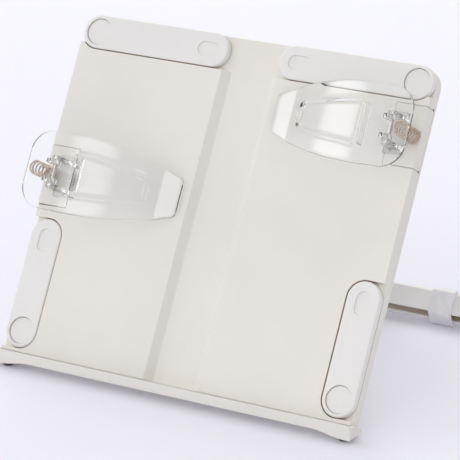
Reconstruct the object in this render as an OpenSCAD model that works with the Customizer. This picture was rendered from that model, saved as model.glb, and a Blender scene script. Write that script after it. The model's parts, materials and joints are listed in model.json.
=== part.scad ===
// Portable reading and drawing board: a leaning moulded board with a bottom ledge,
// four swing-out page arms, two sprung clear clips on sliding carriages and a folding rear leg.
// X runs across the board, -Y is the front, +Z is up, and the board stands on z = 0.

/* [Board] */
// Width of the moulded board
board_w = 230; // [220:1:240]
// Height of the board face above the ledge line
board_h = 206; // [200:1:212]
// Thickness of the board from page face to rear cover
board_t = 11.6; // [11:0.1:13]
// Lean of the board back from upright, in degrees
lean = 30; // [25:1:32]
// Height of the ledge line above the table
ledge_line_z = 10; // [9.5:0.1:11]
// How far the page panels stand above the base level
panel_rise = 4.3; // [3.8:0.1:5]
// Radius of the upper corners
corner_r = 11; // [9:0.5:12]
// Width of the centre channel at the page face
channel_w = 35.6; // [34:0.2:38]

/* [Ledge] */
// Length of the bottom ledge
ledge_w = 235; // [232:1:240]
// How far the ledge lip stands in front of the page face
lip_depth = 5.2; // [4.8:0.1:5.6]
// Height of the lip's top above the ledge's shelf
lip_rise = 0.8; // [0.4:0.1:1.2]
// Height of the ledge's lower edge above the table, between the feet
arch_z = 5.4; // [4.8:0.1:6]

/* [Swing arms] */
// Width of every swing arm
arm_w = 20.6; // [20:0.1:21]
// Overall length of an upper arm
top_arm_len = 98; // [90:1:99]
// Overall length of a lower arm
low_arm_len = 78; // [70:1:78]
// Distance of every pivot from the middle of the board
pivot_x = 104.5; // [104:0.1:104.6]
// Height of the upper pivots above the ledge line
top_pivot_h = 196; // [195.6:0.1:196.2]
// Height of the lower pivots above the ledge line
low_pivot_h = 12.7; // [12.5:0.1:13]

/* [Clips] */
// Height of the left clip's middle above the ledge line
left_clip_h = 106.3; // [104:0.1:110]
// Height of the right clip's middle above the ledge line
right_clip_h = 165; // [160:0.1:165.2]
// Greatest width of a clear paddle
paddle_w = 47.6; // [44:0.2:48]
// Thickness of the clear plastic
clear_t = 2.2; // [1.8:0.1:2.6]

/* [Rear leg] */
// Height of the leg hinge above the ledge line, measured along the board
leg_hinge_h = 176; // [174:0.5:178]
// Length of the foot bar
foot_bar_w = 208; // [196:1:210]
// Height of the foot bar along the leg
foot_bar_h = 15.7; // [15.2:0.1:16.4]

/* [Hidden] */
$fn = 64;

eps = 0.01;
// The footprint's middle in Y is the origin, and the ledge line stands this far in front of it.
stand_y = -94.59;

// Shell
wall = 2.4;
half_w = board_w / 2;
panel_top = 185.2;
cover_t = 2.2;
cover_gap = 0.15;
cavity_back = board_t - cover_t;
floor_back = panel_rise + wall;
cover_seat = wall - 0.9;
strip_rise = 3.6;
cavity_x = [22, 90];
cavity_z = [5, 182];
rib_z = [44, 140];
rib_t = 1.8;
rib_back = 7.4;

// Swing arms
arm_r = arm_w / 2;
seam = 0.5;
arm_t = 4.1;
arm_edge_r = 1.2;
dish_r = 8;
dish_depth = 1.1;
cap_r = 7.8;
cap_t = 1.2;
pivot_r = 3;
pivot_clear = 0.08;
pivot_end = 9.2;
pivot_boss_r = 5.4;
pivot_boss_back = 8.2;
washer_r = 4.8;
washer_y = [8.25, 9];
dimple_r = 4.3;
dimple_reach = 5.5;
top_arm_reach = top_arm_len - arm_w;
low_arm_reach = low_arm_len - arm_w;
low_pocket_top = low_pivot_h + low_arm_reach + arm_r + seam;
low_pocket_bottom = low_pivot_h - arm_r - seam / 2;

// Carriages
block_h = 35.6;
block_x = 96;
block_gap = 0.18;
block_t = 9.1;
tunnel_x = 90;
tongue_x = 75.8;
tongue_h = 27;
tongue_front = 5.8;
tongue_gap = 0.3;
stop_front = 3.4;
stop_half = 17;
groove_r = 0.9;
groove_n = 8.3;
stud_r = 2.9;
stud_rise = 1.2;

// Clips: the hinge line, the spring and the arch of the paddle
hinge_x = 101.7;
hinge_n = 13;
pin_r = 1.25;
pin_clear = 0.06;
handle_x = 116.2;
crease_x = 35.3;
crease_n = 5;
tip_x = 23.2;
tip_n = 2.45;
arch_x = 105;
arch_n = 21.7;
arch_r = (pow(arch_x - crease_x, 2) + pow(arch_n - crease_n, 2)) / (2 * (arch_n - crease_n));
widest_x = 88;
crease_half = 16;
tip_half = 12.6;
tip_r = 4;
handle_r = 14;
side_rise = paddle_w / 2 - crease_half;
side_r = (pow(widest_x - crease_x, 2) + pow(side_rise, 2)) / (2 * side_rise);
window_x = [41, 84];
window_half = [5.8, 12];
window_depth = 0.9;
clip_screw_x = hinge_x - 2.6;
clip_screw_z = 9.6;
clip_screw_r = 0.85;
base_x = [95.2, 105.6];
base_t = 2;
base_half = 12.2;
ear_half = 4;
ear_root = 6;
ear_r = 3.2;
lug_r = 3;
stop_t = 1.8;
stop_drop = 9.5;
lug_w = 2.4;
lug_in = 4.4;
ear_in = 7.1;
spring_x = 110.5;
spring_r = 4;
wire_r = 0.5;
spring_turns = 7;
spring_top = arch_n - clear_t - 0.5;

// Leg: the hinge in the board's frame, then the leg's own angle from upright
sleeve_t = 1.6;
hinge_back = 16.5;
leg_inner = 4.1;
leg_t = 6;
heel_top = 5.5;
heel_inner = 3;
bar_back = 9;
bar_wall = 1.8;
bar_lip = 2.9;
bar_slot = 6.3;
crest_y = 6.6;
yoke_t = 2.4;
yoke_screws = [-30, 30];
sleeve_x = 85.8;
sleeve_w = 15.2;
foot_reach = 181.6;
hinge_y = leg_hinge_h * sin(lean) + hinge_back * cos(lean);
hinge_z = ledge_line_z + leg_hinge_h * cos(lean) - hinge_back * sin(lean);
foot_span = norm([foot_reach - hinge_y, hinge_z - sleeve_t]);
leg_len = sqrt(foot_span * foot_span - leg_inner * leg_inner);
leg_angle = atan2(foot_reach - hinge_y, hinge_z - sleeve_t) + asin(leg_inner / foot_span);
leg_pin_r = 2;
bracket_x = 33;
bracket_w = 8;
bracket_t = 2.6;
barrel_r = 4.2;

ivory = [0.90, 0.885, 0.85];
arm_grey = [0.90, 0.90, 0.89];
clear_plastic = [0.85, 0.90, 0.93, 0.4];
steel = [0.62, 0.60, 0.58];
spring_steel = [0.66, 0.56, 0.48];
foot_brown = [0.20, 0.17, 0.16];
leg_grey = [0.80, 0.80, 0.78];
sleeve_white = [0.93, 0.93, 0.95];

// ---------- frames ----------

// Board frame: x across, y from the page face into the board, z up the board from the ledge line.
module on_board() {
    translate([0, stand_y, ledge_line_z]) rotate([-lean, 0, 0]) children();
}

// Leg frame: the hinge line is the x axis and the leg runs down along -z.
module on_leg() {
    translate([0, stand_y + hinge_y, hinge_z]) rotate([leg_angle, 0, 0]) children();
}

// Clip frame: y is height above the page face, z is along the hinge line, x outward.
module on_clip(side, height) {
    on_board() translate([0, 0, height])
        if (side < 0) mirror([1, 0, 0]) children();
        else children();
}

// ---------- small shapes ----------

// Draws a flat outline in x and z, from depth y0 to depth y1 in the board.
module slab(y0, y1) {
    translate([0, y1, 0]) rotate([90, 0, 0]) linear_extrude(y1 - y0) children();
}

// The span from a to b on the right (side 1) or mirrored on the left (side -1).
function on_side(side, a, b) = side > 0 ? [a, b] : [-b, -a];

module box(x, y, z) {
    translate([x[0], y[0], z[0]]) cube([x[1] - x[0], y[1] - y[0], z[1] - z[0]]);
}

// A cylinder along the board's thickness.
module peg(x, z, r, y0, y1) {
    translate([x, y1, z]) rotate([90, 0, 0]) cylinder(h = y1 - y0, r = r);
}

// A cylinder along x.
module rod(x0, x1, y, z, r) {
    translate([x0, y, z]) rotate([0, 90, 0]) cylinder(h = x1 - x0, r = r);
}

// A rectangle with round corners, built of squares and circles so that its corners stay true.
module round_rect(w, h, r) {
    square([w - 2 * r, h], center = true);
    square([w, h - 2 * r], center = true);
    for (sx = [-1, 1], sz = [-1, 1]) translate([sx * (w / 2 - r), sz * (h / 2 - r)]) circle(r);
}

// A bar with round ends from [0, 0] along +x.
module stadium(reach, r) {
    circle(r);
    translate([0, -r]) square([reach, 2 * r]);
    translate([reach, 0]) circle(r);
}

// Points on an arc, from angle a0 to a1.
function arc(cx, cy, r, a0, a1, steps) =
    [for (i = [0 : steps]) let (a = a0 + (a1 - a0) * i / steps) [cx + r * cos(a), cy + r * sin(a)]];

function mirrored(points) = [for (i = [len(points) - 1 : -1 : 0]) [points[i][0], -points[i][1]]];

function both_sides(points) =
    concat(points, [for (i = [len(points) - 1 : -1 : 0]) [-points[i][0], points[i][1]]]);

// ---------- shell ----------

// Outline of the board: square at the foot, round at the upper corners.
module board_outline(inset = 0) {
    w = half_w - inset;
    top = board_h - inset;
    r = corner_r - inset;
    translate([-w, inset]) square([2 * w, top - r - inset]);
    translate([-w + r, inset]) square([2 * (w - r), top - inset]);
    for (s = [-1, 1]) translate([s * (w - r), top - r]) circle(r);
}

// The pocket of one upper arm and the strip between the arms.
module top_pocket() {
    difference() {
        translate([-half_w - 1, panel_top]) square([board_w + 2, board_h - panel_top + 1]);
        for (s = [-1, 1]) difference() {
            translate([s * (half_w + 1) - (s > 0 ? half_w - pivot_x + 1 : 0), panel_top - 1])
                square([half_w - pivot_x + 1, strip_rise + 1]);
            translate([s * pivot_x, top_pivot_h]) circle(arm_r + seam);
        }
    }
}

// A lower arm's pocket: it follows the arm on the page side and is open to the board's side.
module low_pocket(s) {
    translate([s * pivot_x, low_pivot_h]) rotate(90) stadium(low_arm_reach, arm_r + seam);
    translate([s > 0 ? pivot_x : -half_w - 1, low_pocket_bottom])
        square([half_w - pivot_x + 1, low_pocket_top - low_pocket_bottom]);
}

// The centre channel, with sloping sides, drawn across x and depth.
module channel_section() {
    polygon([[-channel_w / 2 - eps, -eps], [channel_w / 2 + eps, -eps],
        [channel_w / 2 - panel_rise, panel_rise], [-channel_w / 2 + panel_rise, panel_rise]]);
}

// Centres of the screw bosses that join the two halves of the board.
boss_x = 86;
boss_z = [16, 192];
boss_r = 3.6;
boss_spots = [for (x = [-boss_x, 0, boss_x], z = boss_z) [x, z]];
boss_floor = panel_rise + 1.2;
cover_screw_r = 1.25;
cover_hole_r = 1.7;
sink_r = 3.1;
sink_t = 1.2;
head_r = 2.9;
slot_l = 3.6;
slot_t = 0.6;

module bosses(r, y0, y1) {
    for (p = boss_spots) peg(p[0], p[1], r, y0, y1);
}

// Where a right-hand carriage runs: the notch in the side, the tunnel for its tongue and two grooves.
module carriage_slot(height) {
    low = height - block_h / 2 - block_gap;
    high = height + block_h / 2 + block_gap;
    tunnel = tongue_h / 2 + tongue_gap;
    box([block_x - block_gap, half_w + 1], [-1, cavity_back], [low, high]);
    box([tunnel_x - 1, block_x], [tongue_front - tongue_gap, cavity_back],
        [height - tunnel, height + tunnel]);
    for (z = [low, high]) rod(block_x, half_w + 1, groove_n, z, groove_r);
}

module front_shell() {
    color(ivory) on_board() difference() {
        slab(0, board_t) board_outline();
        slab(-1, panel_rise) top_pocket();
        for (s = [-1, 1]) slab(-1, panel_rise) low_pocket(s);
        translate([0, 0, -1]) linear_extrude(panel_top + 2) channel_section();
        difference() {
            union() {
                slab(floor_back, cavity_back + eps) board_outline(wall);
                for (s = [-1, 1])
                    box(on_side(s, cavity_x[0], cavity_x[1]), [wall, floor_back + eps], cavity_z);
            }
            bosses(boss_r, 0, cavity_back);
            for (x = [-pivot_x, pivot_x], z = [low_pivot_h, top_pivot_h])
                peg(x, z, pivot_boss_r, 0, pivot_boss_back);
            for (s = [-1, 1], z = rib_z)
                box(on_side(s, cavity_x[0] - 2, cavity_x[1] + 2), [0, rib_back], [z, z + rib_t]);
        }
        slab(cavity_back, board_t + 1) board_outline(cover_seat);
        bosses(cover_screw_r + 0.05, boss_floor, board_t);
        for (x = [-pivot_x, pivot_x], z = [low_pivot_h, top_pivot_h])
            peg(x, z, pivot_r, 0, board_t);
        mirror([1, 0, 0]) carriage_slot(left_clip_h);
        carriage_slot(right_clip_h);
    }
}

module rear_cover() {
    color(ivory) on_board() difference() {
        union() {
            slab(cavity_back + eps, board_t) board_outline(cover_seat + cover_gap);
            for (s = [-1, 1])
                box(on_side(s, bracket_x - 3, bracket_x + bracket_w + 3),
                    [floor_back + 0.3, cavity_back + 1],
                    [leg_hinge_h - bracket_half - 1, leg_hinge_h + bracket_half + 1]);
        }
        bosses(cover_hole_r, 4, board_t + 1);
        for (p = boss_spots) translate([p[0], board_t - sink_t, p[1]]) rotate([-90, 0, 0])
            cylinder(h = sink_t + 0.1, r1 = cover_hole_r, r2 = sink_r);
        for (p = bracket_screw_spots) peg(p[0], p[1], bracket_hole_r, 4, board_t + 1);
    }
}

module cover_screws() {
    color(steel) on_board() for (p = boss_spots) {
        peg(p[0], p[1], cover_screw_r, boss_floor + 0.1, board_t - 0.9);
        translate([p[0], board_t - sink_t + 0.05, p[1]]) rotate([-90, 0, 0]) difference() {
            cylinder(h = 1.1, r1 = cover_hole_r - 0.1, r2 = head_r);
            translate([0, 0, 0.5]) for (a = [0, 90]) rotate(a)
                translate([-slot_l / 2, -slot_t / 2, 0]) cube([slot_l, slot_t, 1]);
        }
    }
}

// ---------- ledge and feet ----------

// The ledge's section in depth and height of the board frame: a shelf, a low lip, an upright front
// and a level underside.
shelf = -1.45;
lip_top = shelf + lip_rise;
lip_r = 0.6;
front_line = -lip_depth * cos(lean) + lip_top * sin(lean);
under_z = 1.2;
front_low = [front_line * cos(lean) + (ledge_line_z - under_z) * sin(lean),
    front_line * sin(lean) - (ledge_line_z - under_z) * cos(lean)];
ledge_section = concat(
    [[0, 0], [0, shelf], [-lip_depth + 2, shelf], [-lip_depth + 1.7, lip_top]],
    arc(-lip_depth + lip_r, lip_top - lip_r, lip_r, 90, 180 + lean, 6),
    [front_low, [board_t, front_low[1] + (board_t - front_low[0]) * tan(lean)], [board_t, 0]]);

// The underside seen from the front: a raised arch that comes down to a foot at each end.
end_z = 2.6;
arch_half = 93;
arch_end = 113;
arch_steps = 10;
arch_line = both_sides(concat([[ledge_w, end_z]],
    [for (i = [arch_steps : -1 : 0]) let (t = i / arch_steps)
        [arch_half + t * (arch_end - arch_half), end_z + (arch_z - end_z) * (1 + cos(180 * t)) / 2]]));

// Everything under the arch, from height z0 up to the arch.
module under_arch(z0) {
    slab(stand_y - 40, stand_y + 60) polygon(concat(arch_line, [[-ledge_w, z0], [ledge_w, z0]]));
}

module bottom_ledge() {
    color(ivory) difference() {
        on_board() intersection() {
            translate([-ledge_w / 2, 0, 0]) rotate([90, 0, 90]) linear_extrude(ledge_w)
                polygon(ledge_section);
            linear_extrude(40, center = true) translate([0, 16 - lip_depth]) round_rect(ledge_w, 32, 2);
        }
        under_arch(-5);
    }
}

foot_x = 110.8;
foot_r = 3.1;
foot_y = 1.6;

// A round foot pad whose top follows the arch.
module front_foot(side) {
    color(foot_brown) intersection() {
        translate([side * foot_x, stand_y + foot_y, 0]) cylinder(h = 8, r = foot_r);
        under_arch(-1);
    }
}
module left_front_foot() { front_foot(-1); }
module right_front_foot() { front_foot(1); }

// ---------- swing arms ----------

module arm_pivots() {
    color(arm_grey) on_board() for (x = [-pivot_x, pivot_x], z = [low_pivot_h, top_pivot_h]) {
        peg(x, z, cap_r, dish_depth, dish_depth + cap_t);
        peg(x, z, pivot_r - 0.02, dish_depth, pivot_end);
    }
}

module pivot_washers() {
    color(steel) on_board() for (x = [-pivot_x, pivot_x], z = [low_pivot_h, top_pivot_h])
        difference() {
            peg(x, z, washer_r, washer_y[0], washer_y[1]);
            peg(x, z, pivot_r + 0.02, washer_y[0] - 1, washer_y[1] + 1);
        }
}

// A swing arm lying along +x from its pivot, its face at depth 0, drawn with round edges.
module arm(reach) {
    difference() {
        union() {
            linear_extrude(arm_t - arm_edge_r) stadium(reach, arm_r);
            translate([0, 0, arm_t - arm_edge_r - eps]) linear_extrude(arm_edge_r + eps)
                stadium(reach, arm_r - arm_edge_r);
            for (x = [0, reach]) translate([x, 0, arm_t - arm_edge_r]) rotate_extrude()
                translate([arm_r - arm_edge_r, 0]) intersection() {
                    circle(arm_edge_r);
                    square(arm_edge_r);
                }
            for (y = [-1, 1]) translate([0, y * (arm_r - arm_edge_r), arm_t - arm_edge_r])
                rotate([0, 90, 0]) cylinder(h = reach, r = arm_edge_r);
        }
        translate([0, 0, arm_t - dish_depth - cap_t - 0.1]) cylinder(h = 4, r = dish_r);
        translate([0, 0, -1]) cylinder(h = 6, r = pivot_r + pivot_clear);
        translate([reach - dimple_reach, 0, arm_t - 1]) linear_extrude(2)
            stadium(dimple_reach, dimple_r);
    }
}

// Lays an arm in the board: its pivot, and the direction in which it points.
module place_arm(x, z, turn, reach) {
    color(arm_grey) on_board() translate([x, arm_t, z]) rotate([90, 0, 0])
        rotate([0, 0, turn]) arm(reach);
}
module top_left_arm() { place_arm(-pivot_x, top_pivot_h, 0, top_arm_reach); }
module top_right_arm() { place_arm(pivot_x, top_pivot_h, 180, top_arm_reach); }
module lower_left_arm() { place_arm(-pivot_x, low_pivot_h, 90, low_arm_reach); }
module lower_right_arm() { place_arm(pivot_x, low_pivot_h, 90, low_arm_reach); }

// ---------- clips ----------

// The sliding block that carries a clip, flush with the page face and the board's side.
module carriage() {
    color(ivory) difference() {
        union() {
            box([block_x, half_w], [0, block_t], [-block_h / 2, block_h / 2]);
            box([tongue_x, block_x + 1], [tongue_front, block_t], [-tongue_h / 2, tongue_h / 2]);
            box([tongue_x, tongue_x + 2], [stop_front, block_t], [-stop_half, stop_half]);
            peg(spring_x, 0, stud_r, -stud_rise, 1);
        }
        for (s = [-1, 1])
            rod(block_x - 1, half_w + 1, groove_n, s * (block_h / 2 + block_gap), groove_r);
        for (z = [-1, 1]) peg(clip_screw_x, z * clip_screw_z, clip_screw_r + 0.05, -1, 6);
    }
}

// The clear foot of the hinge: a plate with two upright ears.
module clip_base() {
    color(clear_plastic) difference() {
        union() {
            box(base_x, [-base_t, -0.02], [-base_half, base_half]);
            for (s = [-1, 1]) translate([0, 0, s > 0 ? ear_in : -ear_in - lug_w]) {
                box([hinge_x - ear_half, hinge_x + ear_half], [-ear_root, -1], [0, lug_w]);
                linear_extrude(lug_w) polygon([
                    [hinge_x - ear_half, -ear_root], [hinge_x + ear_half, -ear_root],
                    [hinge_x + ear_r, -hinge_n], [hinge_x - ear_r, -hinge_n]]);
                translate([hinge_x, -hinge_n, 0]) cylinder(h = lug_w, r = ear_r);
            }
        }
        translate([hinge_x, -hinge_n, -15]) cylinder(h = 30, r = pin_r + 0.01);
    }
}

module clip_screws() {
    color(steel) for (z = [-1, 1]) peg(clip_screw_x, z * clip_screw_z, clip_screw_r, -0.02, 5);
}

module hinge_pin() {
    color(steel) translate([hinge_x, -hinge_n, -ear_in - lug_w - 0.6])
        cylinder(h = 2 * (ear_in + lug_w + 0.6), r = pin_r);
}

// The paddle's top line from tip to handle, and the same line lowered by a depth.
function paddle_top(depth) = concat([[tip_x, -tip_n + depth]],
    arc(arch_x, -arch_n + arch_r, arch_r - depth,
        -90 - asin((arch_x - crease_x) / arch_r), -90, 20),
    [[handle_x, -arch_n + 0.3 + depth]]);

// The paddle seen from above: narrow tip, bowed sides and a round-cornered handle.
side_outline = concat(
    arc(tip_x + tip_r, tip_half - tip_r, tip_r, 180, 110, 4),
    [[crease_x - 2, crease_half - 0.8]],
    arc(widest_x, paddle_w / 2 - side_r, side_r, 90 + asin((widest_x - crease_x) / side_r), 90, 12),
    arc(handle_x - handle_r, paddle_w / 2 - handle_r - 0.3, handle_r, 86, 0, 12));
window_outline = concat(
    arc(window_x[0] + 4, window_half[0] - 4, 4, 180, 100, 6),
    [[window_x[1] - 2, window_half[1]], [window_x[1], window_half[1] - 2]]);

// Stands an outline given in x and z along the clip's height axis.
module across_clip(points) {
    translate([0, 2, 0]) rotate([90, 0, 0]) linear_extrude(40)
        polygon(concat(points, mirrored(points)));
}

module paddle_band(top, bottom) {
    points_top = paddle_top(top);
    points_low = paddle_top(bottom);
    translate([0, 0, -40]) linear_extrude(80)
        polygon(concat(points_top, [for (i = [len(points_low) - 1 : -1 : 0]) points_low[i]]));
}

module paddle() {
    under = arch_n - clear_t;
    stop_x = window_x[1] + 1;
    color(clear_plastic) difference() {
        union() {
            intersection() {
                paddle_band(0, clear_t);
                across_clip(side_outline);
            }
            box([stop_x, stop_x + stop_t], [-under + 0.6, -under + stop_drop],
                [-window_half[1], window_half[1]]);
            for (s = [-1, 1]) translate([0, 0, s > 0 ? lug_in : -lug_in - lug_w]) {
                box([hinge_x - lug_r, hinge_x + lug_r], [-under - 0.5, -hinge_n], [0, lug_w]);
                translate([hinge_x, -hinge_n, 0]) cylinder(h = lug_w, r = lug_r);
            }
        }
        intersection() {
            paddle_band(-2, window_depth);
            across_clip(window_outline);
        }
        translate([hinge_x, -hinge_n, -15]) cylinder(h = 30, r = pin_r + pin_clear);
    }
}

// A coil spring: a round wire swept along a helix, standing between carriage and handle.
coil_steps = 20;
wire_sides = 8;
function coil_ring(i, total) =
    let (a = 360 * spring_turns * i / total, h = wire_r + (spring_top - 2 * wire_r) * i / total)
    [for (k = [0 : wire_sides - 1]) let (b = 360 * k / wire_sides, r = spring_r + wire_r * cos(b))
        [spring_x + r * cos(a), -h - 0.05 - wire_r * sin(b), r * sin(a)]];

module spring() {
    total = spring_turns * coil_steps;
    points = [for (i = [0 : total]) each coil_ring(i, total)];
    sides = [for (i = [0 : total - 1], k = [0 : wire_sides - 1]) let (n = (k + 1) % wire_sides)
        [i * wire_sides + k, i * wire_sides + n, (i + 1) * wire_sides + n, (i + 1) * wire_sides + k]];
    color(spring_steel) polyhedron(points = points, faces = concat(sides,
        [[for (k = [wire_sides - 1 : -1 : 0]) k]],
        [[for (k = [0 : wire_sides - 1]) total * wire_sides + k]]), convexity = 6);
}

module left_carriage() { on_clip(-1, left_clip_h) carriage(); }
module right_carriage() { on_clip(1, right_clip_h) carriage(); }
module left_clip_base() { on_clip(-1, left_clip_h) clip_base(); }
module right_clip_base() { on_clip(1, right_clip_h) clip_base(); }
module left_clip_screws() { on_clip(-1, left_clip_h) clip_screws(); }
module right_clip_screws() { on_clip(1, right_clip_h) clip_screws(); }
module left_hinge_pin() { on_clip(-1, left_clip_h) hinge_pin(); }
module right_hinge_pin() { on_clip(1, right_clip_h) hinge_pin(); }
module left_paddle() { on_clip(-1, left_clip_h) paddle(); }
module right_paddle() { on_clip(1, right_clip_h) paddle(); }
module left_spring() { on_clip(-1, left_clip_h) spring(); }
module right_spring() { on_clip(1, right_clip_h) spring(); }

// ---------- rear leg ----------

bracket_screw_spots = [for (s = [-1, 1], z = [-8, 8])
    [s * (bracket_x + bracket_w / 2), leg_hinge_h + z]];
bracket_half = 11;
bracket_hole_r = 1.2;
bracket_head_r = 2.1;

module hinge_bracket(side) {
    x0 = side > 0 ? bracket_x : -bracket_x - bracket_w;
    color(ivory) on_board() difference() {
        union() {
            box([x0, x0 + bracket_w], [board_t + eps, board_t + bracket_t],
                [leg_hinge_h - bracket_half, leg_hinge_h + bracket_half]);
            rod(x0, x0 + bracket_w, hinge_back, leg_hinge_h, barrel_r);
            box([x0, x0 + bracket_w], [board_t + 0.1, hinge_back],
                [leg_hinge_h - barrel_r, leg_hinge_h + barrel_r]);
        }
        rod(x0 - 1, x0 + bracket_w + 1, hinge_back, leg_hinge_h, leg_pin_r + 0.01);
        for (p = bracket_screw_spots) peg(p[0], p[1], bracket_hole_r, 4, 30);
    }
}
module left_hinge_bracket() { hinge_bracket(-1); }
module right_hinge_bracket() { hinge_bracket(1); }

module bracket_screws() {
    color(steel) on_board() for (p = bracket_screw_spots) {
        peg(p[0], p[1], bracket_hole_r - 0.05, 7.5, board_t + bracket_t + 0.1);
        peg(p[0], p[1], bracket_head_r, board_t + bracket_t + 0.02, board_t + bracket_t + 1.1);
    }
}

module leg_hinge_pin() {
    color(steel) on_board()
        rod(-bracket_x - bracket_w + 0.5, bracket_x + bracket_w - 0.5, hinge_back, leg_hinge_h, leg_pin_r);
}

// The foot bar's section in the leg frame: a low lip, a slot, a face that leans back and a flat rear.
bar_low = -leg_len;
bar_top = bar_low + foot_bar_h;
face_low = bar_low + bar_lip + bar_slot;
bar_section = [[-leg_inner, bar_low], [-leg_inner, face_low], [crest_y, bar_top],
    [bar_back, bar_top - 1.2], [bar_back, bar_low + 2], [bar_back - 2, bar_low]];
face_slope = (bar_top - face_low) / (crest_y + leg_inner);
face_angle = atan(face_slope);
face_back = [-leg_inner + bar_wall * sin(face_angle), face_low - bar_wall * cos(face_angle)];
rear_inner = bar_back - bar_wall;
bay_section = [[-leg_inner - 2, bar_low + bar_lip], [bar_wall - leg_inner, bar_low + bar_lip],
    [bar_wall - leg_inner, bar_low + bar_wall], [rear_inner - 0.8, bar_low + bar_wall],
    [rear_inner, bar_low + bar_wall + 1],
    [rear_inner, face_back[1] + (rear_inner - 1.6 - face_back[0]) * face_slope - 0.4],
    [rear_inner - 0.8, face_back[1] + (rear_inner - 0.8 - face_back[0]) * face_slope],
    face_back, [-leg_inner, face_low], [-leg_inner - 2, face_low]];
yoke_screw_z = bar_low + 7;
yoke_screw_r = 1.19;
post_r = 3.4;

// Lays a section given in depth and height along x in the leg frame.
module along_leg(x0, x1) {
    on_leg() translate([x0, 0, 0]) rotate([90, 0, 90]) linear_extrude(x1 - x0) children();
}

// The angles of the two outward normals at a corner of a convex outline that is listed clockwise.
function normal_angle(p, q) = atan2(q[0] - p[0], p[1] - q[1]);
function corner_angles(points, i) = let (n = len(points),
    a = normal_angle(points[(i + n - 1) % n], points[i]), b = normal_angle(points[i], points[(i + 1) % n]))
    [a, b > a ? b - 360 : b];

// Such an outline moved outwards by a distance, with sharp corners and with round ones.
function moved_out(points, by) = [for (i = [0 : len(points) - 1])
    let (c = corner_angles(points, i), m = (c[0] + c[1]) / 2, d = by / cos((c[0] - c[1]) / 2))
    [points[i][0] + d * cos(m), points[i][1] + d * sin(m)]];
function rounded_out(points, by) = [for (i = [0 : len(points) - 1])
    let (c = corner_angles(points, i)) each arc(points[i][0], points[i][1], by, c[0], c[1], 4)];
bar_clear = moved_out(bar_section, 0.02);

// The leg's outline below the hinge: a strut that widens towards the foot bar.
leg_half = 31;
strut_half = 20;
yoke_half = 42;
leg_outline = [[leg_half, 0], [leg_half, -8], [strut_half + 4, -24], [strut_half, -60],
    [strut_half, bar_top + 44], [strut_half + 6, bar_top + 26], [yoke_half, bar_top + 8],
    [yoke_half, face_low + 1]];

// The hollow in the leg's outer face, inside a rim.
hollow_outline = [[leg_half - 8, -14], [strut_half - 3.5, -60], [strut_half - 3.5, bar_top + 42],
    [strut_half + 1, bar_top + 27], [yoke_half - 10, bar_top + 13]];

// The leg: a barrel on the hinge pin, a heel that stops against the cover, a hollow strut and a yoke
// that holds the foot bar from above and behind.
module prop_leg() {
    color(leg_grey) difference() {
        on_leg() difference() {
            union() {
                slab(-leg_inner, leg_t - leg_inner) polygon(both_sides(leg_outline));
                rod(-leg_half, leg_half, 0, 0, leg_inner);
                box([-leg_half, leg_half], [-heel_inner, leg_inner], [-2, heel_top]);
                box([-yoke_half, yoke_half], [leg_t - leg_inner - 1, bar_back + yoke_t],
                    [bar_low + 3, bar_top + 4]);
            }
            slab(2 - leg_inner, leg_t) polygon(both_sides(hollow_outline));
            rod(-leg_half - 1, leg_half + 1, 0, 0, leg_pin_r + pivot_clear);
            for (x = yoke_screws) peg(x, yoke_screw_z, 1.6, bar_back - 1, bar_back + yoke_t + 1);
        }
        on_board() box([-half_w, half_w], [-20, board_t + 0.3], [0, board_h]);
        along_leg(-half_w, half_w) polygon(bar_clear);
    }
}

// The foot bar: a hollow bar in two bays, each open along a slot low on its inner face.
module foot_bar() {
    half = foot_bar_w / 2;
    color(leg_grey) difference() {
        along_leg(-half, half) polygon(bar_section);
        for (s = [0, 1]) mirror([s, 0, 0]) difference() {
            along_leg(3, half - bar_wall) polygon(bay_section);
            on_leg() peg(yoke_screws[1], yoke_screw_z, post_r, -leg_inner, bar_back);
        }
        on_leg() for (x = yoke_screws) peg(x, yoke_screw_z, 1.2, 0, bar_back + 1);
    }
}

module foot_bar_screws() {
    color(steel) on_leg() for (x = yoke_screws) {
        peg(x, yoke_screw_z, yoke_screw_r, 0.2, bar_back + yoke_t + 0.1);
        peg(x, yoke_screw_z, 2.8, bar_back + yoke_t + 0.01, bar_back + yoke_t + 1.4);
    }
}

// A soft sleeve wrapped round the foot bar; the board stands on it.
module foot_sleeve(side) {
    color(sleeve_white) difference() {
        along_leg(side * sleeve_x - sleeve_w / 2, side * sleeve_x + sleeve_w / 2)
            polygon(rounded_out(bar_section, sleeve_t));
        along_leg(-half_w, half_w) polygon(bar_clear);
    }
}
module left_foot_sleeve() { foot_sleeve(-1); }
module right_foot_sleeve() { foot_sleeve(1); }

front_shell();
rear_cover();
cover_screws();
bottom_ledge();
left_front_foot();
right_front_foot();
arm_pivots();
pivot_washers();
top_left_arm();
top_right_arm();
lower_left_arm();
lower_right_arm();
left_carriage();
right_carriage();
left_clip_base();
right_clip_base();
left_clip_screws();
right_clip_screws();
left_hinge_pin();
right_hinge_pin();
left_paddle();
right_paddle();
left_spring();
right_spring();
left_hinge_bracket();
right_hinge_bracket();
bracket_screws();
leg_hinge_pin();
prop_leg();
foot_bar();
foot_bar_screws();
left_foot_sleeve();
right_foot_sleeve();
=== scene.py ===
import json
import math

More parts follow.
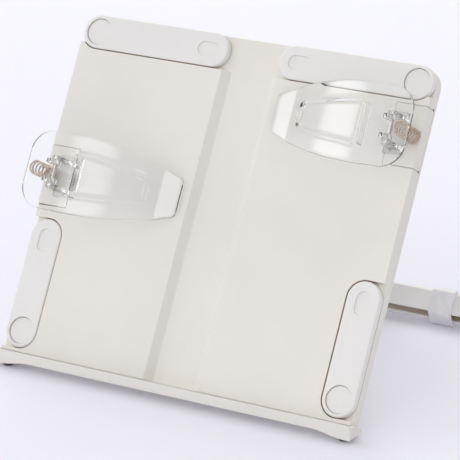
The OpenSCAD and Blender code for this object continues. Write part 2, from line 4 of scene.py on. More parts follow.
import bmesh
import bpy
from mathutils import Vector
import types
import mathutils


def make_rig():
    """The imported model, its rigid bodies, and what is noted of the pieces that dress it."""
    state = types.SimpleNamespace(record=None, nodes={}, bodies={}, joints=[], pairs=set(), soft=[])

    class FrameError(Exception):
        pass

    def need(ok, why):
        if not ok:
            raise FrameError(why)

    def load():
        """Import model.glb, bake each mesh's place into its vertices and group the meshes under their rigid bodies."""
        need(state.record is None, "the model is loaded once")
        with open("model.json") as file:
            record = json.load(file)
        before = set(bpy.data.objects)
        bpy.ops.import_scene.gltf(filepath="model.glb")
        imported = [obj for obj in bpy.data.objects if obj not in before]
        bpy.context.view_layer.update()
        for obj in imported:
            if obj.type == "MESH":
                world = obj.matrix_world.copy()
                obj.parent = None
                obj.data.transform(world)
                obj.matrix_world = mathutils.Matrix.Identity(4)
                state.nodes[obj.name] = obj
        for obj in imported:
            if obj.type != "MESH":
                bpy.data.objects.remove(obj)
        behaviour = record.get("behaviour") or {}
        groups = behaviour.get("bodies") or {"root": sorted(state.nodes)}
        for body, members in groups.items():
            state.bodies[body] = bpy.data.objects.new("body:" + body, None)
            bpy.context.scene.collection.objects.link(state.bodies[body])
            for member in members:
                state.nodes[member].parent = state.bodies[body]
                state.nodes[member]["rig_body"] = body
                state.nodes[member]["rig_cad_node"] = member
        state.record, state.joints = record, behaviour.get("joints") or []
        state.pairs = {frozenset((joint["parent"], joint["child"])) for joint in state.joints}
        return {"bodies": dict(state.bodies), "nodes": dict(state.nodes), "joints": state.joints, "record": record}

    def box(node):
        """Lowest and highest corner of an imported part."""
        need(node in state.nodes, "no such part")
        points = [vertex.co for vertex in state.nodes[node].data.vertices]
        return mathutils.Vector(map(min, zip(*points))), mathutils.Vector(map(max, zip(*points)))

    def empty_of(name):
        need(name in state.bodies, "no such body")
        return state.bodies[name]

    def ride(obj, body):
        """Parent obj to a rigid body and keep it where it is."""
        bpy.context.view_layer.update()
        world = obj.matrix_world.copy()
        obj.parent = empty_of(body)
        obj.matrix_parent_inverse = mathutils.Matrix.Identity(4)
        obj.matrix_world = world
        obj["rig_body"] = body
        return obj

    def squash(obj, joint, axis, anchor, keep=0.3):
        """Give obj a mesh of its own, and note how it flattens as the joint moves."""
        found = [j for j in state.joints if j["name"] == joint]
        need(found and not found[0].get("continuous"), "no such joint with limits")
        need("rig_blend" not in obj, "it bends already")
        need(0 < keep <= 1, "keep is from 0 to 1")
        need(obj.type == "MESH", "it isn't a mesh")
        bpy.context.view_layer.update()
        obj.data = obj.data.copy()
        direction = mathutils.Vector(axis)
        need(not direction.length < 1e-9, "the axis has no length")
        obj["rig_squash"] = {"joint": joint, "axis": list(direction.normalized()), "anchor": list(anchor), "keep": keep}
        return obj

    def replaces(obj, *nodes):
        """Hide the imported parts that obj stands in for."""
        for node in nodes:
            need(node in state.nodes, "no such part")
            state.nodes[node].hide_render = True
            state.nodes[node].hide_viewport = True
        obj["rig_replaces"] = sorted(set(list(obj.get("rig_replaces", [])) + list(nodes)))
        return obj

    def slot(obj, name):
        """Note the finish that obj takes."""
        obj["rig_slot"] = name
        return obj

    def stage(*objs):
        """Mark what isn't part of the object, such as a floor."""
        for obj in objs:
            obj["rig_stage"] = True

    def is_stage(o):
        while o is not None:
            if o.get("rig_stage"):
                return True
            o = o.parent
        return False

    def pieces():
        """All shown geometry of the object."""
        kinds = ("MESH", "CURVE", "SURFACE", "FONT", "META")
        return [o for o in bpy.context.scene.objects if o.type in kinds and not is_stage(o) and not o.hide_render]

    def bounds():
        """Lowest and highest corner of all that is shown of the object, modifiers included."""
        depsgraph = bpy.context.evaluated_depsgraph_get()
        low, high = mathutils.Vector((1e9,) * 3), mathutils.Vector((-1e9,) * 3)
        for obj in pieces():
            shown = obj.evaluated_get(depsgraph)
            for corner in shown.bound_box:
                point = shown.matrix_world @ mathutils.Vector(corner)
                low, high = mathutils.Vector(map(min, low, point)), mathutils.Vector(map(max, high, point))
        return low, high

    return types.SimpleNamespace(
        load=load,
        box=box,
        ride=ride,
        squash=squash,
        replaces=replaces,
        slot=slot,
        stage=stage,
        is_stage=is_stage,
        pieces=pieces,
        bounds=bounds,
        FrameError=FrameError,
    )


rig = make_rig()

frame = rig.load()
cad_box = [list(c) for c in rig.bounds()]
nodes = frame["nodes"]
joints = {j["name"]: j for j in frame["record"]["behaviour"]["joints"]}

# ---------- the board's own frame, from the arm joints ----------
TOP_LEFT = Vector(joints["top_left_arm_swing"]["pos_m"])
LOW_LEFT = Vector(joints["lower_left_arm_swing"]["pos_m"])
TOP_RIGHT = Vector(joints["top_right_arm_swing"]["pos_m"])
OUT = Vector(joints["top_left_arm_swing"]["axis"]).normalized()
UP = (TOP_LEFT - LOW_LEFT).normalized()
ACROSS = Vector((1, 0, 0))
PAGE_FACE = max(v.co.dot(OUT) for v in nodes["front_shell"].data.vertices)


def on_board(across, up, out):
    """A point from shares of the arm pivots' spacing across and up the board, and metres out of it."""
    middle = Vector((0, LOW_LEFT.y, LOW_LEFT.z))
    return (middle + ACROSS * across * (TOP_RIGHT.x - TOP_LEFT.x)
            + UP * up * (TOP_LEFT - LOW_LEFT).length + OUT * out)


# ---------- material helpers ----------
TONE_DRIFT = 0.03
PLASTIC_IOR, CLEAR_IOR = 1.5, 1.49
LAMPLIGHT_THROUGH = (0.955, 0.96, 0.965, 1)
# the share of open surroundings below which a surface takes the full painted shade brown, and above which it has none
SHUT, OPEN = 0.12, 0.52
# how far under the page face the painted shade brown is full, and how far under it starts, in metres
DEEP, SHALLOW = 0.0006, 0.0002


def new_material(name):
    """A material with one Principled shader, and the coordinates of the piece's own frame."""
    mat = bpy.data.materials.new(name)
    mat.use_nodes = True
    tree = mat.node_tree
    tree.nodes.clear()
    out = tree.nodes.new("ShaderNodeOutputMaterial")
    shader = tree.nodes.new("ShaderNodeBsdfPrincipled")
    tree.links.new(shader.outputs[0], out.inputs[0])
    place = tree.nodes.new("ShaderNodeTexCoord").outputs["Object"]
    return mat, tree, shader, out, place


def noise(tree, place, scale, detail=3.0, rough=0.5):
    """Fractal noise from about 0.3 to 0.7, with scale in cycles per metre."""
    n = tree.nodes.new("ShaderNodeTexNoise")
    n.inputs["Scale"].default_value = scale
    n.inputs["Detail"].default_value = detail
    n.inputs["Roughness"].default_value = rough
    tree.links.new(place, n.inputs["Vector"])
    return n.outputs["Fac"]


def ramp(tree, value, low, high, start=0.35, end=0.65):
    """Turns a value that goes from start to end into one from low to high."""
    r = tree.nodes.new("ShaderNodeMapRange")
    r.inputs["From Min"].default_value = start
    r.inputs["From Max"].default_value = end
    r.inputs["To Min"].default_value = low
    r.inputs["To Max"].default_value = high
    tree.links.new(value, r.inputs["Value"])
    return r.outputs[0]


def tint(tree, value, dark, light):
    """A colour between dark, where the value is 0, and light, where it is 1."""
    m = tree.nodes.new("ShaderNodeMix")
    m.data_type = "RGBA"
    m.inputs["A"].default_value = (*dark, 1)
    m.inputs["B"].default_value = (*light, 1)
    tree.links.new(value, m.inputs["Factor"])
    return m.outputs["Result"]


def bump(tree, shader, height, distance, strength, under=None):
    """Relief from a height, laid over an earlier relief if there is one."""
    b = tree.nodes.new("ShaderNodeBump")
    b.inputs["Distance"].default_value = distance
    b.inputs["Strength"].default_value = strength
    tree.links.new(height, b.inputs["Height"])
    if under is not None:
        tree.links.new(under, b.inputs["Normal"])
    tree.links.new(b.outputs[0], shader.inputs["Normal"])
    return b.outputs[0]


def calc(tree, kind, first, second):
    """The sum or product of two node values."""
    node = tree.nodes.new("ShaderNodeMath")
    node.operation = kind
    tree.links.new(first, node.inputs[0])
    tree.links.new(second, node.inputs[1])
    return node.outputs[0]


def along(tree, vector, direction):
    """How far a vector goes in a direction."""
    node = tree.nodes.new("ShaderNodeVectorMath")
    node.operation = "DOT_PRODUCT"
    tree.links.new(vector, node.inputs[0])
    node.inputs[1].default_value = direction
    return node.outputs["Value"]


def painted_crevice_shade(tree, place, tone, brown, reach, below_face=False, alone=False):
    """Painted shade: brown where a surface is shut in within a reach, in seams, holes and slots.

    With below_face only what lies under the page face counts, and with alone only the piece's own walls.
    """
    open_share = tree.nodes.new("ShaderNodeAmbientOcclusion")
    open_share.samples = 8
    open_share.only_local = alone
    open_share.inputs["Distance"].default_value = reach
    # painted shade: the brown's share, full where ambient occlusion finds the surface shut in
    painted_shade = ramp(tree, open_share.outputs["AO"], 1, 0, SHUT, OPEN)
    if below_face:
        sunk = ramp(tree, along(tree, place, OUT), 1, 0, PAGE_FACE - DEEP, PAGE_FACE - SHALLOW)
        painted_shade = calc(tree, "MULTIPLY", painted_shade, sunk)
    mixed = tint(tree, painted_shade, brown, brown)
    tree.links.new(tone, mixed.node.inputs["A"])
    return mixed


def moulded(name, color, rough, grain=2600.0, depth=0.00002, painted_shade=None):
    """Moulded plastic: a slow drift of tone, fine spark-eroded grain, uneven gloss and painted shade in its seams."""
    mat, tree, shader, _, place = new_material(name)
    dark = tuple(c * (1 - TONE_DRIFT) for c in color)
    light = tuple(min(1, c * (1 + TONE_DRIFT)) for c in color)
    slow = noise(tree, place, 14.0, 4.0, 0.55)
    tone = tint(tree, ramp(tree, slow, 0, 1, 0.3, 0.7), dark, light)
    # painted shade: brown in seams, holes and slots where the surroundings are shut in
    if painted_shade:
        tone = painted_crevice_shade(tree, place, tone, *painted_shade)
    tree.links.new(tone, shader.inputs["Base Color"])
    fine = noise(tree, place, grain, 2.0, 0.6)
    patches = noise(tree, place, 60.0, 5.0, 0.6)
    tree.links.new(ramp(tree, patches, rough - 0.05, rough + 0.06), shader.inputs["Roughness"])
    swell = bump(tree, shader, slow, 0.0004, 0.12)
    bump(tree, shader, fine, depth, 0.7, swell)
    shader.inputs["IOR"].default_value = PLASTIC_IOR
    return mat


def clear(name, tone, rough):
    """Clear plastic: smooth, with slight flow waves, and it lets the lamps through."""
    mat, tree, shader, out, place = new_material(name)
    shader.inputs["Base Color"].default_value = (*tone, 1)
    shader.inputs["Transmission Weight"].default_value = 1.0
    shader.inputs["IOR"].default_value = CLEAR_IOR
    waves = noise(tree, place, 45.0, 2.0, 0.4)
    bump(tree, shader, waves, 0.0004, 0.10)
    marks = noise(tree, place, 300.0, 4.0, 0.6)
    tree.links.new(ramp(tree, marks, rough * 0.5, rough * 1.6), shader.inputs["Roughness"])
    rays = tree.nodes.new("ShaderNodeLightPath")
    open_way = tree.nodes.new("ShaderNodeBsdfTransparent")
    open_way.inputs["Color"].default_value = LAMPLIGHT_THROUGH
    mix = tree.nodes.new("ShaderNodeMixShader")
    tree.links.new(rays.outputs["Is Shadow Ray"], mix.inputs[0])
    tree.links.new(shader.outputs[0], mix.inputs[1])
    tree.links.new(open_way.outputs[0], mix.inputs[2])
    tree.links.new(mix.outputs[0], out.inputs[0])
    return mat


def metal(name, dark, light, rough, scale, stretch=(1, 1, 1)):
    """Metal with fine drawing marks and small changes of tone."""
    mat, tree, shader, _, place = new_material(name)
    mapping = tree.nodes.new("ShaderNodeMapping")
    mapping.inputs["Scale"].default_value = stretch
    tree.links.new(place, mapping.inputs["Vector"])
    drawn = noise(tree, mapping.outputs[0], scale, 3.0, 0.6)
    tree.links.new(tint(tree, ramp(tree, drawn, 0, 1), dark, light), shader.inputs["Base Color"])
    shader.inputs["Metallic"].default_value = 1.0
    tree.links.new(ramp(tree, drawn, rough, rough + 0.12), shader.inputs["Roughness"])
    bump(tree, shader, drawn, 0.00001, 0.5)
    return mat


def rubbery(name, color, rough, sheen, grain, soft=0.0):
    """Rubber or soft vinyl: matt, a fine grain, and light under the surface where it is soft."""
    mat, tree, shader, _, place = new_material(name)
    dark = tuple(c * 0.9 for c in color)
    slow = noise(tree, place, 90.0, 4.0, 0.6)
    tree.links.new(tint(tree, ramp(tree, slow, 0, 1), dark, color), shader.inputs["Base Color"])
    tree.links.new(ramp(tree, slow, rough - 0.06, rough + 0.06), shader.inputs["Roughness"])
    bump(tree, shader, noise(tree, place, grain, 2.0, 0.5), 0.00003, 0.6)
    shader.inputs["Sheen Weight"].default_value = sheen
    shader.inputs["Subsurface Weight"].default_value = soft
    shader.inputs["Subsurface Scale"].default_value = 0.002
    return mat


# ---------- materials ----------
# brown painted shade for the seams round the arms and pockets, and for the slot and recess of the leg
SEAM_SHADE_BROWN = (0.52, 0.34, 0.20)
SLOT_SHADE_BROWN = (0.95, 0.78, 0.62)
PAINTS = {
    "shell_plastic": moulded("shell_plastic", (0.845, 0.822, 0.768), 0.50, painted_shade=(SEAM_SHADE_BROWN, 0.0024, True)),
    "cover_plastic": moulded("cover_plastic", (0.80, 0.77, 0.72), 0.58, 1900.0, 0.00004),
    "arm_plastic": moulded("arm_plastic", (0.845, 0.84, 0.82), 0.42, 3000.0, 0.000012,
                           painted_shade=(SEAM_SHADE_BROWN, 0.0014)),
    "carriage_plastic": moulded("carriage_plastic", (0.84, 0.813, 0.757), 0.46,
                                painted_shade=(SEAM_SHADE_BROWN, 0.0024, True)),
    "clear_plastic": clear("clear_plastic", (0.988, 0.993, 0.996), 0.035),
    "pin_steel": metal("pin_steel", (0.52, 0.50, 0.48), (0.68, 0.66, 0.64), 0.22, 700.0, (1, 4, 4)),
    "spring_steel": metal("spring_steel", (0.46, 0.36, 0.28), (0.66, 0.55, 0.45), 0.24, 1400.0),
    "screw_steel": metal("screw_steel", (0.42, 0.42, 0.43), (0.60, 0.60, 0.60), 0.30, 1500.0),
    "foot_rubber": rubbery("foot_rubber", (0.085, 0.072, 0.066), 0.75, 0.15, 1500.0),
    "leg_plastic": moulded("leg_plastic", (0.86, 0.855, 0.84), 0.50, 2200.0, 0.00003,
                           painted_shade=(SLOT_SHADE_BROWN, 0.014, False, True)),
    "sleeve_vinyl": rubbery("sleeve_vinyl", (0.88, 0.88, 0.90), 0.38, 0.1, 2200.0, 0.25),
}


def soften(obj, width):
    """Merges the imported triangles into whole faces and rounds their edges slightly."""
    same_point, same_face, sharp_edge = 1e-6, math.radians(0.6), math.radians(32)
    weld = obj.modifiers.new("weld", "WELD")
    weld.merge_threshold = same_point
    flat = obj.modifiers.new("flat", "DECIMATE")
    flat.decimate_type = "DISSOLVE"
    flat.angle_limit = same_face
    edge = obj.modifiers.new("edge", "BEVEL")
    edge.limit_method = "ANGLE"
    edge.angle_limit = sharp_edge
    edge.width = width
    edge.segments = 2
    edge.use_clamp_overlap = False
    edge.miter_outer = "MITER_ARC"
    edge.harden_normals = False
    for p in obj.data.polygons:
        p.use_smooth = True
    normals = obj.modifiers.new("normals", "WEIGHTED_NORMAL")
    normals.weight = 80
    normals.keep_sharp = False


# the radius of each piece's softened edges, in metres
EDGES = {
    "front_shell": 0.0004, "rear_cover": 0.0003, "bottom_ledge": 0.0004,
    "top_left_arm": 0.00025, "top_right_arm": 0.00025, "lower_left_arm": 0.00025,
    "lower_right_arm": 0.00025, "left_carriage": 0.00025, "right_carriage": 0.00025,
    "left_clip_base": 0.0002, "right_clip_base": 0.0002, "prop_leg": 0.0005, "foot_bar": 0.0006,
    "left_hinge_bracket": 0.0003, "right_hinge_bracket": 0.0003, "arm_pivots": 0.0002,
    "left_front_foot": 0.0004, "right_front_foot": 0.0004,
}

for part in frame["record"]["subparts"]:
    obj = nodes[part["node"]]
    obj.data.materials.clear()
    obj.data.materials.append(PAINTS[part["material_slot"]])
    for p in obj.data.polygons:
        p.material_index = 0
    if part["node"] in EDGES:
        soften(obj, EDGES[part["node"]])

# ---------- pieces built here: paddles, springs, sleeves ----------
def new_piece(name, verts, faces, paint, body):
    """A smooth mesh piece in one paint, riding on a body."""
    mesh = bpy.data.meshes.new(name)
    mesh.from_pydata([tuple(v) for v in verts], [], faces)
    work = bmesh.new()
    work.from_mesh(mesh)
    bmesh.ops.recalc_face_normals(work, faces=work.faces)
    work.to_mesh(mesh)
    work.free()
    for p in mesh.polygons:
        p.use_smooth = True
    obj = bpy.data.objects.new(name, mesh)
    bpy.context.scene.collection.objects.link(obj)
    mesh.materials.append(PAINTS[paint])
    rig.ride(obj, body)
    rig.slot(obj, paint)
    return obj


def bridge(rings, closed=False):
    """Quads between rings of equal length, with the two end rings capped unless the strip is closed."""
    n, count = len(rings[0]), len(rings)
    verts = [v for ring in rings for v in ring]
    faces = []
    for i in range(count if closed else count - 1):
        a, b = i * n, ((i + 1) % count) * n
        faces += [(a + k, a + (k + 1) % n, b + (k + 1) % n, b + k) for k in range(n)]
    if not closed:
        faces += [tuple(range(n)), tuple(range((count - 1) * n, count * n))]
    return verts, faces


def smooth_step(t):
    """From 0 to 1, level at both ends."""
    t = min(max(t, 0.0), 1.0)
    return t * t * (3 - 2 * t)


def mm(v):
    """Millimetres in metres."""
    return v / 1000.0


# The clear paddle, in mm: x is the distance from the board's middle and n the height above its face.
HINGE_N = 13.0
TIP_N, TIP_HALF, TIP_R = 2.45, 12.6, 4.2
CREASE, CREASE_N, CREASE_HALF = 35.3, 5.0, 15.6
ARCH_X, ARCH_N = 105.0, 21.7
HANDLE_L, HANDLE_R, HANDLE_FALL, TAPER = 11.0, 14.0, 0.3, 0.3
WIDEST, WIDEST_HALF = 88.0, 23.8
THICK = 2.2
WINDOW = (40.6, 84.4)
WINDOW_HALF, WINDOW_RISE, WINDOW_R = 7.2, 5.4, 5
WALL, TIP_WALL = 2.0, 3.4
EDGE, RIM_W = 0.8, 1.6
RIB, LUG_R = (85.2, 86.8), 3.0
QUARTER = [math.radians(15 * k) for k in range(7)]
ARCH_R = ((ARCH_X - CREASE) ** 2 + (ARCH_N - CREASE_N) ** 2) / (2 * (ARCH_N - CREASE_N))
SIDE_R = ((WIDEST - CREASE) ** 2 + (WIDEST_HALF - CREASE_HALF) ** 2) / (2 * (WIDEST_HALF - CREASE_HALF))


def clip_frame(side, name):
    """A function that places a point of one clip, and the x of its tip, its end and its hinge, in mm."""
    hinge = Vector(joints[name + "_clip_open"]["pos_m"])
    low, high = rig.box(name + "_paddle")
    end = max(abs(low.x), abs(high.x))
    tip = min(abs(low.x), abs(high.x))
    base = Vector((0, hinge.y, hinge.z))

    def at(x, n, z):
        return base + ACROSS * side * mm(x) + OUT * mm(n - HINGE_N) + UP * mm(z)
    return at, tip * 1000, end * 1000, abs(hinge.x) * 1000


def circle_rise(r, off):
    """The height of a circle of radius r at a distance off from its middle."""
    return math.sqrt(max(0, r ** 2 - off ** 2))


def arch_height(x, tip):
    """The paddle's top line: a flat tip, a crease, the arch and a nearly level handle."""
    if x < CREASE:
        return TIP_N + (x - tip) / (CREASE - tip) * (CREASE_N - TIP_N)
    if x > ARCH_X:
        return ARCH_N - HANDLE_FALL * (x - ARCH_X) / HANDLE_L
    return ARCH_N - ARCH_R + circle_rise(ARCH_R, ARCH_X - x)


def half_width(x, tip, end):
    """Half of the paddle's width: round tip corners, bowed sides and a round-cornered handle."""
    if x < tip + TIP_R:
        return TIP_HALF - TIP_R + circle_rise(TIP_R, tip + TIP_R - x)
    if x < CREASE:
        return TIP_HALF + (CREASE_HALF - TIP_HALF) * (x - tip - TIP_R) / (CREASE - tip - TIP_R)
    if x < WIDEST:
        return WIDEST_HALF - SIDE_R + circle_rise(SIDE_R, WIDEST - x)
    if x < end - HANDLE_R:
        return WIDEST_HALF - TAPER * (x - WIDEST) / (end - HANDLE_R - WIDEST)
    return WIDEST_HALF - TAPER - HANDLE_R + circle_rise(HANDLE_R, x - end + HANDLE_R)


def window_half(x):
    """Half of the window's width: narrow and round towards the tip."""
    a, b = WINDOW
    t = (x - a) / (b - a)
    h = WINDOW_HALF + WINDOW_RISE * (0.45 * t + 0.55 * math.sin(math.pi * t / 2))
    if x < a + WINDOW_R:
        h -= WINDOW_R - circle_rise(WINDOW_R, a + WINDOW_R - max(x, a))
    return h


def ramped(t):
    """A straight slope with small fillets at both ends, from 0 to 1."""
    return (smooth_step(t) + 2 * min(max(t, 0.0), 1.0)) / 3


def rim(t):
    """The raised rim round the window, as a share of its height."""
    return math.sin(math.pi * min(max(t, 0.0), 1.0)) ** 2


def spaced(start, step, count):
    return [start + step * k for k in range(count)]


def stations(tip, end, hinge_x):
    """Where the paddle's skin has its rings along x, close together where its shape turns."""
    a, b = WINDOW
    inside = a + WALL
    xs = [tip + EDGE * (1 - math.cos(t)) for t in QUARTER[:6]]
    xs += spaced(tip + 0.7, 0.4, 10) + spaced(tip + 4.6, 0.9, 8)
    xs += [CREASE + d for d in (-0.5, -0.12, 0.12, 0.5)] + spaced(CREASE + 1.0, 0.8, 4)
    xs += spaced(a - RIM_W, RIM_W / 6, 6) + spaced(a, WALL / 6, 7) + spaced(inside + 0.45, 0.45, 7)
    xs += spaced(inside + 3.6, (b - a - 2 * WALL - 4.0) / 40, 40) + spaced(b - WALL, WALL / 6, 7)
    xs += [x + d for x in RIB for d in (-0.02, 0.02)] + spaced(RIB[1] + 0.8, 0.8, 14)
    xs += [hinge_x + LUG_R * math.sin(math.radians(t)) for t in range(-90, 91, 10)]
    xs += [hinge_x - LUG_R - 0.03, hinge_x + LUG_R + 0.03]
    xs += [end - HANDLE_R + HANDLE_R * math.sin(math.radians(t)) for t in spaced(0, 4.5, 21)]
    return sorted({round(x, 3) for x in xs if tip <= x <= end - 0.002}) + [end]


def paddle(side, name):
    """One closed skin: bowed plate, recessed window with a raised rim, stop rib and hinge lugs."""
    at, tip, end, hinge_x = clip_frame(side, name)
    deep, raised, rib_half, rib_drop, lug = 1.3, 0.50, 12.0, 8.9, (4.4, 6.8)
    end_trim, least_side = 0.35, 3.2
    a, b = WINDOW
    xs = stations(tip, end, hinge_x)
    breaks = [rib_half + 0.04, rib_half, (rib_half + lug[1]) / 2, lug[1] + 0.04, lug[1], lug[0],
              lug[0] - 0.04, lug[0] / 2, 0.0]
    rings = []
    for x in xs:
        w = half_width(x, tip, end)
        if x in (xs[0], xs[-1]):
            w -= end_trim
        opening = min(window_half(min(max(x, a), b)), w - least_side)
        inner = max(opening - WALL, opening * 0.5)
        height = arch_height(x, tip)
        slope = 0.0
        if x > CREASE:
            slope = math.atan((arch_height(x + 0.1, tip) - arch_height(x - 0.1, tip)) / 0.2)
            slope *= min(1, (x - CREASE) / 2)
        # the top, from the middle to the side: each point's z and its height above the arch
        zs = [inner * k / 7 for k in range(8)]
        zs += [inner + (opening - inner) * k / 6 for k in range(1, 7)]
        zs += [opening + RIM_W * k / 6 for k in range(1, 7)]
        zs += [opening + RIM_W + (w - EDGE - opening - RIM_W) * k / 4 for k in range(1, 5)]
        into_window = min((x - a) / TIP_WALL, (b - x) / WALL)
        before = 1 - (a - x) / RIM_W if x < a else 1
        drop = EDGE - circle_rise(EDGE, EDGE - min(x - tip, end - x, EDGE))
        skin = []
        for z in zs:
            change = 0.0
            if into_window > 0:
                change = -deep * ramped(min(into_window, (opening - z) / max(opening - inner, 0.01)))
                if z > opening and x < b - 0.01:
                    change = raised * rim((z - opening) / RIM_W)
            elif 0 < before < 1 and z < opening + RIM_W:
                change = raised * rim(before) * (1 - smooth_step((z - opening + 1) / 2))
            skin.append((z, change - drop))
        # round the side, then back along the underside to the middle
        skin += [(w - EDGE + EDGE * math.sin(t), -EDGE + EDGE * math.cos(t) - drop) for t in QUARTER[1:]]
        skin += [(w - EDGE + EDGE * math.sin(t), -THICK + EDGE - EDGE * math.cos(t) + drop)
                 for t in reversed(QUARTER)]
        flat = w - EDGE - breaks[0]
        skin += [(breaks[0] + flat * k / 4 if flat > 0.3 else w - EDGE, -THICK + drop) for k in (3, 2, 1)]
        skin += [(min(z, w - EDGE), -THICK + drop) for z in breaks]
        under = len(skin) - len(breaks)
        half = []
        for k, (z, n) in enumerate(skin):
            px, pn = x - n * math.sin(slope), height + n * math.cos(slope)
            if k >= under:
                if RIB[0] < x < RIB[1] and z <= rib_half:
                    px, pn = x, ARCH_N - THICK - rib_drop
                if abs(x - hinge_x) < LUG_R + 0.005 and lug[0] <= z <= lug[1]:
                    px, pn = x, HINGE_N - circle_rise(LUG_R, x - hinge_x)
            half.append((px, pn, z))
        whole = half + [(px, pn, -z) for px, pn, z in reversed(half[1:-1])]
        rings.append([at(*p) for p in whole])
    obj = new_piece(name + "_paddle_clear", *bridge(rings), "clear_plastic", name + "_paddle")
    obj.data.set_sharp_from_angle(angle=math.radians(38))
    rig.replaces(obj, name + "_paddle")


def spring(side, name):
    """A round-wire coil with closed ends, squeezed when the handle is pressed."""
    at, _, _, _ = clip_frame(side, name)
    low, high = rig.box(name + "_spring")
    centre = abs(low.x + high.x) / 2 * 1000
    wire, wire_sides, turns, steps, closed, foot_gap = 0.5, 10, 6.5, 44, 0.09, 0.05
    coil_r = (high.x - low.x) * 500 - wire
    top = ARCH_N - THICK - 0.2
    rings = []
    for i in range(int(turns * steps) + 1):
        t = i / (turns * steps)
        a = 2 * math.pi * turns * t
        eased = smooth_step((t - closed / 2) / (1 - closed))
        even = min(max((t - closed) / (1 - 2 * closed), 0), 1)
        n = wire + foot_gap + (top - 2 * wire) * (eased * 0.25 + even * 0.75)
        ring = []
        for k in range(wire_sides):
            b = 2 * math.pi * k / wire_sides
            r = coil_r + wire * math.cos(b)
            ring.append(at(centre + r * math.cos(a), n + wire * math.sin(b), r * math.sin(a)))
        rings.append(ring)
    obj = new_piece(name + "_spring_coil", *bridge(rings), "spring_steel", name + "_slide")
    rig.replaces(obj, name + "_spring")
    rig.squash(obj, name + "_clip_open", OUT, at(centre, 0, 0), keep=0.7)


def hull(points):
    """Convex outline of points in a plane, anticlockwise."""
    points = sorted(set(points))

    def chain(seq):
        out = []
        for p in seq:
            while len(out) > 1 and ((out[-1][0] - out[-2][0]) * (p[1] - out[-2][1])
                                    - (out[-1][1] - out[-2][1]) * (p[0] - out[-2][0])) <= 1e-12:
                out.pop()
            out.append(p)
        return out[:-1]
    return chain(points) + chain(points[::-1])


def grown(outline, by, steps=6):
    """A convex outline moved outwards, with round corners."""
    out, n = [], len(outline)
    for i in range(n):
        p, q, r = outline[i - 1], outline[i], outline[(i + 1) % n]
        a = math.atan2(-(q[0] - p[0]), q[1] - p[1])
        b = math.atan2(-(r[0] - q[0]), r[1] - q[1])
        while b < a:
            b += 2 * math.pi
        for k in range(steps + 1):
            t = a + (b - a) * k / steps
            out.append((q[0] + by * math.cos(t), q[1] + by * math.sin(t)))
    return out


def sleeve(name):
    """A soft sleeve: full in the middle, pulled in at its ends, wrapped round the foot bar."""
    low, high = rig.box(name + "_foot_sleeve")
    bar = nodes["foot_bar"].data
    limit = max(v.co.x for v in bar.vertices)
    section = hull([(round(v.co.y, 6), round(v.co.z, 6)) for v in bar.vertices if v.co.x > limit - 1e-4])
    thick = min(p[1] for p in section) - low.z
    round_r, skin_gap = thick * 0.55, 0.00004
    rings, count = [], 22
    for i in range(count + 1):
        x = low.x + (high.x - low.x) * (0.5 - 0.5 * math.cos(math.pi * i / count))
        from_end = min(x - low.x, high.x - x, round_r)
        by = thick - (round_r - circle_rise(round_r, round_r - from_end))
        rings.append([Vector((x, y, z)) for y, z in grown(section, by)])
    for x in (high.x, low.x):
        rings.append([Vector((x, y, z)) for y, z in grown(section, skin_gap)])
    obj = new_piece(name + "_sleeve_soft", *bridge(rings, closed=True), "sleeve_vinyl", "rear_leg")
    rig.replaces(obj, name + "_foot_sleeve")


for side, name in ((-1, "left"), (1, "right")):
    paddle(side, name)
    spring(side, name)
    sleeve(name)

# ---------- camera, at the photograph's angle ----------
AZIMUTH, ELEVATION, DISTANCE = math.radians(29.26), math.radians(20.0), 1.625
aim = on_board(0.0629, 0.4435, 0.002)
back = Vector((math.sin(AZIMUTH) * math.cos(ELEVATION), -math.cos(AZIMUTH) * math.cos(ELEVATION),
               math.sin(ELEVATION)))
cam = bpy.data.objects.new("camera", bpy.data.cameras.new("camera"))
bpy.context.scene.collection.objects.link(cam)
cam.data.lens = 223
cam.data.sensor_width = 36
cam.location = aim + back * DISTANCE
cam.rotation_euler = (-back).to_track_quat("-Z", "Y").to_euler()
cam.data.clip_start = 0.05
bpy.context.scene.camera = cam

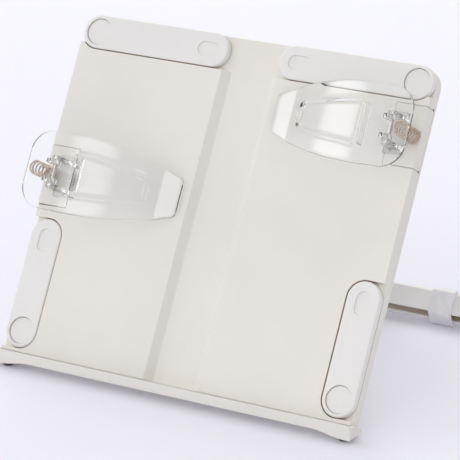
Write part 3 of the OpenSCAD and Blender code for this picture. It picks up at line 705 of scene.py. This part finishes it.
# ---------- floor and light ----------
FLOOR_HALF = 6
floor_mesh = bpy.data.meshes.new("floor")
corners = [(x * FLOOR_HALF, y * FLOOR_HALF, 0) for x, y in ((-1, -1), (1, -1), (1, 1), (-1, 1))]
floor_mesh.from_pydata(corners, [], [(0, 1, 2, 3)])
floor = bpy.data.objects.new("floor", floor_mesh)
bpy.context.scene.collection.objects.link(floor)
mat, tree, shader, _, place = new_material("floor")
tree.links.new(tint(tree, noise(tree, place, 3.0), (0.865, 0.865, 0.935), (0.885, 0.885, 0.95)),
               shader.inputs["Base Color"])
shader.inputs["Roughness"].default_value = 0.9
floor_mesh.materials.append(mat)
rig.stage(floor)

# ---------- a studio that is bright on the left and overhead, with a grey flag low on the right ----------
world = bpy.data.worlds.new("studio")
world.use_nodes = True
sky = world.node_tree
sky.nodes["Background"].inputs[0].default_value = (0.895, 0.887, 0.892, 1)
heading = sky.nodes.new("ShaderNodeTexCoord").outputs["Generated"]
split = sky.nodes.new("ShaderNodeSeparateXYZ")
sky.links.new(heading, split.inputs[0])
sideways = ramp(sky, split.outputs["X"], 0.94, 0.68, -0.9, 0.9)
lift = ramp(sky, split.outputs["Z"], 0.78, 1.05, -0.1, 0.5)
strength = calc(sky, "MULTIPLY", sideways, lift)
# soft-edged glows that the clear plastic mirrors: direction, half angle in degrees, brightness
GLOWS = (((-0.155, -0.79, 0.594), 14.0, 2.2), ((-0.778, -0.478, 0.407), 13.0, 2.9),
         ((0.30, -0.50, 0.90), 5.0, 9.0), ((-0.70, 0.10, 0.70), 6.0, 7.0))
for towards, wide, bright in GLOWS:
    glow = ramp(sky, along(sky, heading, Vector(towards).normalized()), 0.0, bright,
                math.cos(math.radians(wide)), math.cos(math.radians(wide * 0.35)))
    glow.node.interpolation_type = "SMOOTHSTEP"
    strength = calc(sky, "ADD", strength, glow)
sky.links.new(strength, sky.nodes["Background"].inputs[1])
bpy.context.scene.world = world
bpy.context.scene.view_settings.view_transform = "Standard"

key_data = bpy.data.lights.new("key", "AREA")
key_data.shape = "RECTANGLE"
key_data.size = key_data.size_y = 1.1
key_data.energy = 15.0
key = bpy.data.objects.new("key", key_data)
towards_key = Vector((-0.36, 0.60, 0.80)).normalized()
key.location = aim + towards_key * 2.8
key.rotation_euler = (-towards_key).to_track_quat("-Z", "Y").to_euler()
bpy.context.scene.collection.objects.link(key)

visual_box = [list(c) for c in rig.bounds()]
with open("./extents.json", "w") as f:
    json.dump({"cad": cad_box, "visual": visual_box}, f)
